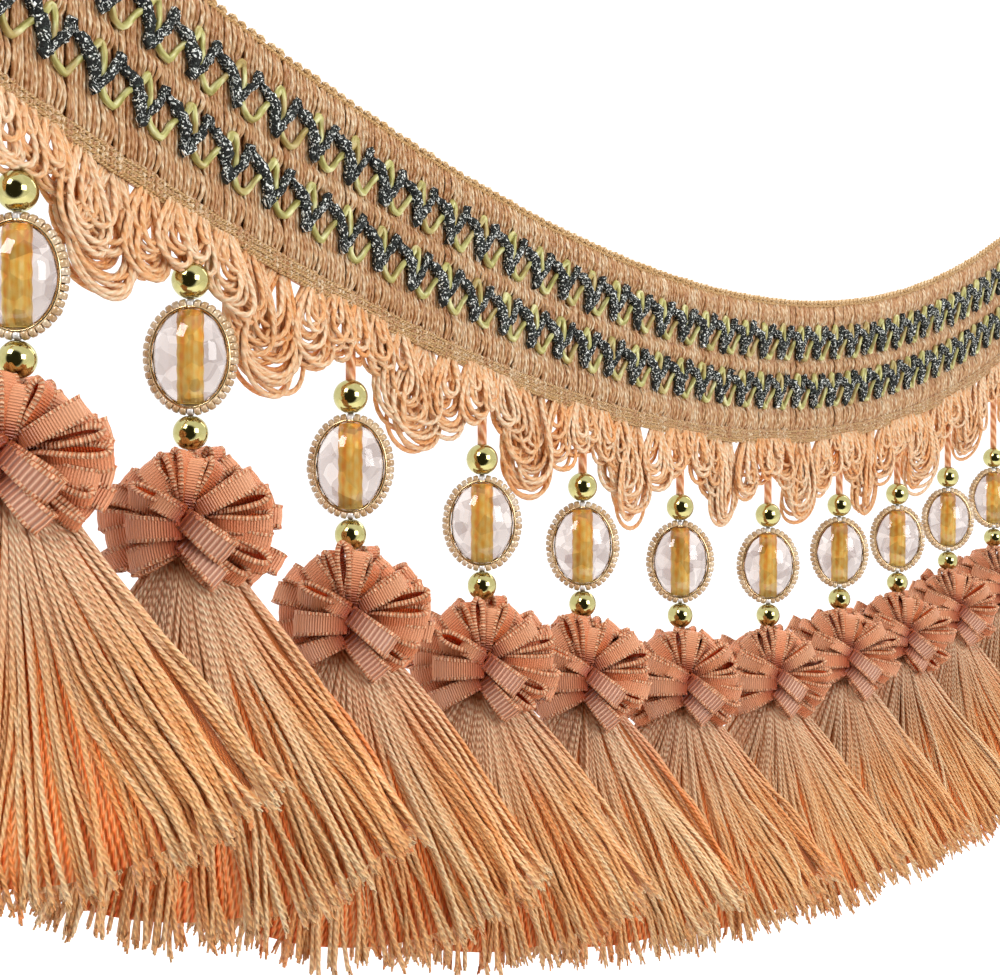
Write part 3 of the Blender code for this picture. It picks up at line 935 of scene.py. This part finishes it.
def ribbon_loops(root, tip, roll, width, gape, arch, tone, coarse):
    """Closed loops of ribbon, each from its root out to its tip, round a fold and back."""
    count = len(root)
    way = tip - root
    reach = np.linalg.norm(way, axis=-1)[:, None, None]
    out_way = unit(way)
    flat_way = unit(np.cross(out_way, OUT_OF_BAND))
    tilt = roll[:, None]
    wide_way = np.cos(tilt) * flat_way + np.sin(tilt) * np.cross(out_way, flat_way)
    bow_way = np.cross(out_way, wide_way)
    turn = np.linspace(0, math.pi, LOOP_RINGS)
    out = np.sin(turn)[:, None] ** 0.55
    out[[0, -1]] = 0.0
    apart = -np.cos(turn)[:, None] * (0.25 + 0.75 * out)
    path = (
        root[:, None]
        + out_way[:, None] * reach * out
        + bow_way[:, None] * 0.5 * gape[:, None, None] * apart
        + arch[:, None] * np.sin(math.pi * 0.62 * out)
    )
    wide = np.broadcast_to(wide_way[:, None], path.shape)
    face = unit(np.cross(unit(np.gradient(path, axis=1)), wide))
    half = 0.5 * width[:, None, None] * (0.72 + 0.28 * out**0.9)
    crown = 0.05 * width[:, None, None]
    section = [
        path + wide * half * across + face * (RIBBON_THICK * through - crown * up)
        for across, up, through in RIBBON_SECTION
    ]
    made = skin(np.stack(section, 2), lengths(path), RIBBON_AROUND)
    made["share"] = np.tile(np.repeat(out[:, 0], len(section)), count)
    made["inner"] = np.tile([1.0 * (through > 0) for _, _, through in RIBBON_SECTION], count * LOOP_RINGS)
    made["tone"] = np.repeat(tone, LOOP_RINGS * len(section))
    made["coarse"] = np.repeat(coarse, LOOP_RINGS * len(section))
    return made


tip_x, tip_z, root_x, root_z, forward, broad, roll, gape, petal_glow = np.array(PETALS).T
petal_tip = np.stack([tip_x, -0.55 * forward, tip_z], -1) * MILLIMETRE
petal_root = np.stack([root_x, -forward, root_z], -1) * MILLIMETRE
petal_number = np.arange(len(PETALS))
petal_arch = np.where(petal_number < BROAD_PETALS, BROAD_ARCH, PETAL_ARCH)[:, None] * -OUT_OF_BAND
HALF_TURN = np.array([-1.0, -1.0, 1.0])

ribbon = silky("ribbon", 0.38, 0.5, "#FF9A60")
along, around = ribbon.measures()
coarse = ribbon.own("coarse")
fold = ribbon.own("share")
inner = ribbon.own("inner")
rib = ribbon.wave(along / RIB_PITCH * (1 - coarse * 0.46))
bead = ribbon.wave(along / EDGE_BEAD_PITCH)
# Painted bounce light and shade: edge-on petals round the outline are tinted a deeper orange by their glow
# share.
painted_glow = ribbon.own("tone")
fuzz = ribbon.above(ribbon.noise(2400.0), 0.47, 0.60)
face_tint = ribbon.mix(painted_glow, "#E09C72", "#F67434")
face_tint = ribbon.mix(fuzz * painted_glow * 0.45, face_tint, "#FFBE8A")
# Painted highlight: lighter towards the rounded fold at each loop's tip.
face_tint = ribbon.mix(ribbon.above(fold, 0.50, 0.94) * 0.22, face_tint, "#FFD6AE")
# Painted highlight on the rib crests of the two coarse front bands, and painted shade in the grooves of
# every rib.
face_tint = ribbon.mix(coarse * 0.55, face_tint, "#ECC4AC")
painted_groove_shade = ribbon.mix(coarse * 0.48 + 0.28, face_tint, "#94421E")
rib_tint = ribbon.mix(rib, painted_groove_shade, face_tint)
# Painted shade and bounce light: the insides of the loops are a saturated orange.
painted_inner_glow = ribbon.mix(fuzz, "#F2581C", "#FF9048")
selvedge = ribbon.ramp(around, (0.0, WHITE), (0.13, WHITE), (0.16, BLACK), (0.84, BLACK), (0.87, WHITE))
# Pale beads along both edges, with painted highlight on each bead and painted shade between them.
edge_tint = ribbon.mix(bead, "#C86A3A", "#F6C69C")
sided = ribbon.mix(ribbon.above(inner, 0.35, 0.65), rib_tint, painted_inner_glow)
ribbon_tint = ribbon.mix(selvedge, sided, edge_tint)
# Painted shade: darker towards the rosette's heart, where the loops are gathered.
painted_root_shade = ribbon.mix(ribbon.above(fold, 0.02, 0.42), "#BE6E48", WHITE)
ribbon.feed(Base_Color=ribbon.mix(1.0, ribbon_tint, painted_root_shade, "MULTIPLY"))
ribbon.bump(rib * (0.5 + coarse * 0.8) + selvedge * bead * 0.8 + fuzz * painted_glow * 0.4, 0.00042)

for index in range(PENDANT_COUNT):
    parts = []
    for half_turn in (np.ones(3), HALF_TURN):
        petal = ribbon_loops(
            petal_root * half_turn,
            petal_tip * half_turn * (1 + jitter(0.055, len(PETALS), 1)),
            np.radians(roll) + jitter(0.16, len(PETALS)),
            broad * MILLIMETRE,
            gape * MILLIMETRE * (1 + jitter(0.14, len(PETALS))),
            petal_arch * half_turn,
            np.clip(petal_glow + jitter(0.12, len(PETALS)), 0, 1),
            (petal_number < COARSE_PETALS) * 1.0,
        )
        parts.append(petal)
    angle = np.arange(MIDDLE_LOOPS) * (2 * math.pi / MIDDLE_LOOPS) + jitter(0.08, MIDDLE_LOOPS)
    away = jitter(0.002, MIDDLE_LOOPS)
    reach = np.stack([MIDDLE_WIDE * np.cos(angle), away, MIDDLE_HIGH * np.sin(angle)], -1)
    middle = ribbon_loops(
        MIDDLE_ROOT * reach,
        reach,
        chance.uniform(-1.3, 1.3, MIDDLE_LOOPS),
        chance.uniform(0.0050, 0.0062, MIDDLE_LOOPS),
        chance.uniform(0.0036, 0.0050, MIDDLE_LOOPS),
        0 * reach,
        chance.uniform(0.3, 0.95, MIDDLE_LOOPS),
        np.zeros(MIDDLE_LOOPS),
    )
    gathered = together(*parts, middle)
    gathered["points"] = gathered["points"] * ROSETTE_SCALE - (0, 0, ROSETTE_SINK)
    rosette = facing(gathered, middle_of(f"rosette_{index}"))
    show(f"rosette_{index}_ribbon", ribbon, rosette, [f"rosette_{index}"])


# The skirt: some three hundred cut lengths of two-ply yarn, tied at the rosette's heart and spread into a
# flat fan round a packed middle. The outer ones cling in locks, and the cut ends open into filaments.
STRANDS = 300
STRAND_STEPS = 9
STRAND_THICK = 0.00106
STRAND_PLY_PITCH = 0.0036
# How long the yarns of each skirt are cut, from the left
SKIRT_LENGTHS = (0.0838, 0.0854, 0.0784, 0.0758, 0.0766, 0.0764, 0.0762, 0.0774, 0.0778, 0.0778, 0.0778)
CORNER_SHORT = 0.035
SKIRT_HALF_ANGLE = math.radians(36.3)
SKIRT_TOP = 0.005
SKIRT_HALF_DEPTH_TOP = 0.0058
SKIRT_HALF_DEPTH_TIP = 0.0128
SKIRT_DEEPEST_AT = 0.0868
PACKED_SHARE = 0.90
PACKED_SHORT = 0.0028
PACKED_NARROW = 0.95
PACKED_SIDES = 24
PACKED_YARNS = 200
PACKED_PLY_PITCH = 0.0022
LOCKS = 13
LOCK_PULL = 0.36
LOCK_FROM = 0.22
LOCK_SPAN = 0.86
LOCKED_WITHIN = 0.80
LOOSE_BEYOND = 0.93
FAN_ROUND = 0.93
LONGER_CUT = 0.0021
LONGER_SHARE = 0.22
BRUSH_HAIRS = 2
BRUSH_THICK = 0.00060
BRUSH_SUNK = 0.001
BRUSH_SPREAD = 0.00022

strand_yarn = silky("strand_yarn", 0.42, 0.3, "#FFB070")
tone = strand_yarn.own("tone")
ply = strand_yarn.twist(2, STRAND_PLY_PITCH, tone * 37.0)
# Painted highlight and shade: cream and deeper orange streaks along the strands, with the tone of each
# strand.
streak = strand_yarn.streaks(0.0036, 2.0, tone * 83.0)
tans = (0.08, "#F06A20"), (0.26, "#F08A40"), (0.44, "#EEA660"), (0.60, "#F2C082"), (0.80, "#F8DCAA")
tint = strand_yarn.ramp(streak * 0.35 + tone * 0.65, *tans)
gathered_end = strand_yarn.own("share")
let_out = strand_yarn.above(gathered_end, 0.16, 0.52)
tint = strand_yarn.mix(let_out * 0.55 + 0.45, "#EEDCC0", tint)
# Painted shade: darker orange in the valleys between the plies.
twisted = strand_yarn.mix(ply, strand_yarn.mix(0.66 - let_out * 0.22, tint, "#BC5E2A"), tint)
shade_stops = (0.02, "#D09468"), (0.12, "#FAF6F6"), (0.50, "#F4F2F8"), (0.85, WHITE)
shaded = strand_yarn.ramp(gathered_end, *shade_stops)
strand_yarn.feed(Base_Color=strand_yarn.mix(1.0, twisted, shaded, "MULTIPLY"))
strand_yarn.bump(ply, 0.00024)


def half_depth(down):
    return SKIRT_HALF_DEPTH_TOP + (SKIRT_HALF_DEPTH_TIP - SKIRT_HALF_DEPTH_TOP) * down / SKIRT_DEEPEST_AT


def cut_share(across):
    """How much of its length a skirt keeps across the fan, less towards the corners."""
    return 1 - CORNER_SHORT * np.abs(across) ** 3


# Packed middles of the fans, each one closed body
packed_yarn = Paint("packed_yarn", Roughness=0.45)
along, around = packed_yarn.measures()
packed_streak = packed_yarn.streaks(0.030, 1.3, 2.0)
side_by_side = packed_yarn.wave(around)
plied = packed_yarn.wave(around * 1.5 + along / PACKED_PLY_PITCH)
# Painted bounce light and shade: the yarns deep in the fan in saturated orange, each lighter along its
# middle and darker between.
packed_painted_light = packed_streak * 0.45 + side_by_side * 0.33 + plied * 0.22
packed_stops = (0.20, "#F0601C"), (0.48, "#FF8C40"), (0.78, "#FFBA7C")
packed_yarn.feed(Base_Color=packed_yarn.ramp(packed_painted_light, *packed_stops))
packed_yarn.bump(side_by_side + plied * 0.4, 0.0006)


def packed_middle(length):
    turn = np.arange(2 * PACKED_SIDES) * (math.pi / PACKED_SIDES)
    across = PACKED_NARROW * np.cos(turn)
    along = np.linspace(SKIRT_TOP, length - PACKED_SHORT, STRAND_STEPS)
    down = along[:, None] * cut_share(across)
    way = across * SKIRT_HALF_ANGLE
    depth = PACKED_SHARE * half_depth(down) * np.sin(turn)
    rings = np.stack([down * np.sin(way), depth, -down * np.cos(way)], -1)
    return skin(rings[None], along[None], np.linspace(0, PACKED_YARNS, 2 * PACKED_SIDES + 1))


hearts = [middle_of(f"rosette_{index}") for index in range(PENDANT_COUNT)]
middles = together(*[facing(packed_middle(length), heart) for length, heart in zip(SKIRT_LENGTHS, hearts)])
show("skirt_middles", packed_yarn, middles)

for index in range(PENDANT_COUNT):
    even = np.linspace(-1, 1, STRANDS)
    across = even * (1.12 - 0.12 * even**2) + jitter(0.015, STRANDS)
    across = np.clip(across, -1, 1)[:, None]
    outer = chance.uniform(0.78, 1.02, (STRANDS, 1))
    front_or_back = np.where(np.arange(STRANDS)[:, None] % 2, 1, -1)
    deep_at = outer * front_or_back * np.sqrt(1 - (FAN_ROUND * across) ** 2)
    loose = np.abs(across) > LOOSE_BEYOND
    deep_at = deep_at * np.where(loose, chance.uniform(-1, 1, (STRANDS, 1)), 1)
    lock_places = np.linspace(-0.97, 0.97, LOCKS) + jitter(0.045, LOCKS)
    lock = np.abs(across + 0.05 * deep_at - lock_places).argmin(1)
    lock_cut = jitter(0.006, LOCKS)
    cut = cut_share(across) + lock_cut[lock, None] + jitter(0.005, STRANDS, 1)
    cut = SKIRT_LENGTHS[index] * cut
    cut = cut + LONGER_CUT * (chance.random((STRANDS, 1)) < LONGER_SHARE)
    gone = np.linspace(0, 1, STRAND_STEPS)
    down = SKIRT_TOP + gone * (cut - SKIRT_TOP)
    drawn = np.sin(math.pi * np.clip((gone - LOCK_FROM) / LOCK_SPAN, 0, 1))
    pull = LOCK_PULL * drawn * chance.uniform(0.4, 1.0, (STRANDS, 1))
    aim = across + (lock_places[lock, None] - across) * pull * (np.abs(across) < LOCKED_WITHIN)
    way = aim * SKIRT_HALF_ANGLE * (1 - 0.42 * np.clip(-deep_at, 0, 1) * (1 - gone) ** 2)
    way = way + jitter(0.024, STRANDS, 1) * np.sin(math.pi * gone)
    way = way + jitter(0.016, LOCKS)[lock, None] * np.sin(1.6 * math.pi * gone)
    way = way + jitter(0.014, STRANDS, 1) * np.sin(gone * 9 + 5 * across)
    depth = deep_at * half_depth(down) + jitter(0.0006, STRANDS, 1) * gone
    strand_paths = np.stack([down * np.sin(way), depth, -down * np.cos(way)], axis=-1)
    lock_tone = jitter(0.09, LOCKS)
    # Painted shade: strands lying deeper in the fan get a lower tone, a deeper orange, besides random ones.
    tone = 0.60 + lock_tone[lock] + 1.1 * (outer[:, 0] - 0.90) + jitter(0.09, STRANDS)
    tone = np.clip(tone, 0.1, 1)
    strands = yarns(strand_paths, STRAND_THICK, 4, tone)
    run = np.repeat(unit(strand_paths[:, -1] - strand_paths[:, -2]), BRUSH_HAIRS, 0)
    stray = jitter(1.0, *run.shape)
    root = np.repeat(strand_paths[:, -1], BRUSH_HAIRS, 0) + BRUSH_SPREAD * stray - BRUSH_SUNK * run
    hair_length = chance.uniform(0.0014, 0.0024, (len(run), 1))
    middle = root + 0.5 * hair_length * unit(run + 0.04 * stray)
    hair_paths = np.stack([root, middle, root + hair_length * unit(run + 0.09 * stray)], 1)
    hair_thick = np.array([1.0, 1.0, 0.9]) * BRUSH_THICK
    frayed = np.clip(tone - 0.12 + 0.5 * loose[:, 0], 0, 1)
    hairs = yarns(hair_paths, hair_thick, 3, np.repeat(frayed, BRUSH_HAIRS))
    hairs["share"] = np.ones(len(hairs["share"]))
    skirt = facing(together(strands, hairs), hearts[index])
    show(f"skirt_{index}_strands", strand_yarn, skirt, [f"skirt_{index}"])


# The studio: a white floor well below the trim and white surroundings. The gold balls also mirror the dark
# room behind the camera, as a spot. Two soft lamps light the front, and one the back.
FLOOR_HEIGHT = -0.75
FLOOR_HALF = 12.0
FLOOR_REACH = 0.7

floor_paint = Paint("floor_white", Base_Color=(0.95, 0.95, 0.95, 1), Roughness=1.0, Specular_IOR_Level=0.0)
floor_paint.feed(Emission_Color=WHITE, Emission_Strength=0.3)
floor_mesh = bpy.data.meshes.new("floor")
floor_corners = [(x * FLOOR_HALF, y * FLOOR_HALF, 0) for x, y in ((-1, -1), (1, -1), (1, 1), (-1, 1))]
floor_mesh.from_pydata(floor_corners, [], [(0, 1, 2, 3)])
floor_mesh.materials.append(floor_paint.material)
floor = bpy.data.objects.new("floor", floor_mesh)
floor.location = (FLOOR_HALF - FLOOR_REACH) * FORWARD + FLOOR_HEIGHT * UP
floor.rotation_euler = (0, 0, -FACE_TURN)
bpy.context.scene.collection.objects.link(floor)

world = bpy.data.worlds.new("studio")
world.use_nodes = True
bpy.context.scene.world = world
studio = Nodes(world.node_tree)
look = studio.node("ShaderNodeTexCoord", out="Generated")
directions = {0: look, 1: tuple(-FORWARD)}
back = studio.node("ShaderNodeVectorMath", {"operation": "DOT_PRODUCT"}, directions, out="Value")
seen = studio.node("ShaderNodeLightPath", out="Is Camera Ray")
walls = studio.mix(seen, studio.ramp(back, (0.56, WHITE), (0.72, "#302E22")), WHITE)
sky = world.node_tree.nodes["Background"]
studio.fill(sky.inputs["Color"], walls)
sky.inputs["Strength"].default_value = 1.2


def lamp(name, place, size, power):
    light = bpy.data.lights.new(name, "AREA")
    light.size = size
    light.energy = power
    holder = bpy.data.objects.new(name, light)
    holder.location = place
    aim = Vector((0, 0, -0.08)) - Vector(place)
    holder.rotation_euler = aim.to_track_quat("-Z", "Y").to_euler()
    bpy.context.scene.collection.objects.link(holder)


lamp("key", -1.3 * FORWARD - 0.85 * RIGHT + 1.1 * UP, 0.70, 20.0)
lamp("fill", -0.9 * FORWARD + 0.9 * RIGHT + 0.25 * UP, 0.60, 8.5)
lamp("back", 0.8 * FORWARD + 0.6 * RIGHT + 0.7 * UP, 0.6, 4.0)

bpy.context.scene.view_settings.view_transform = "Standard"
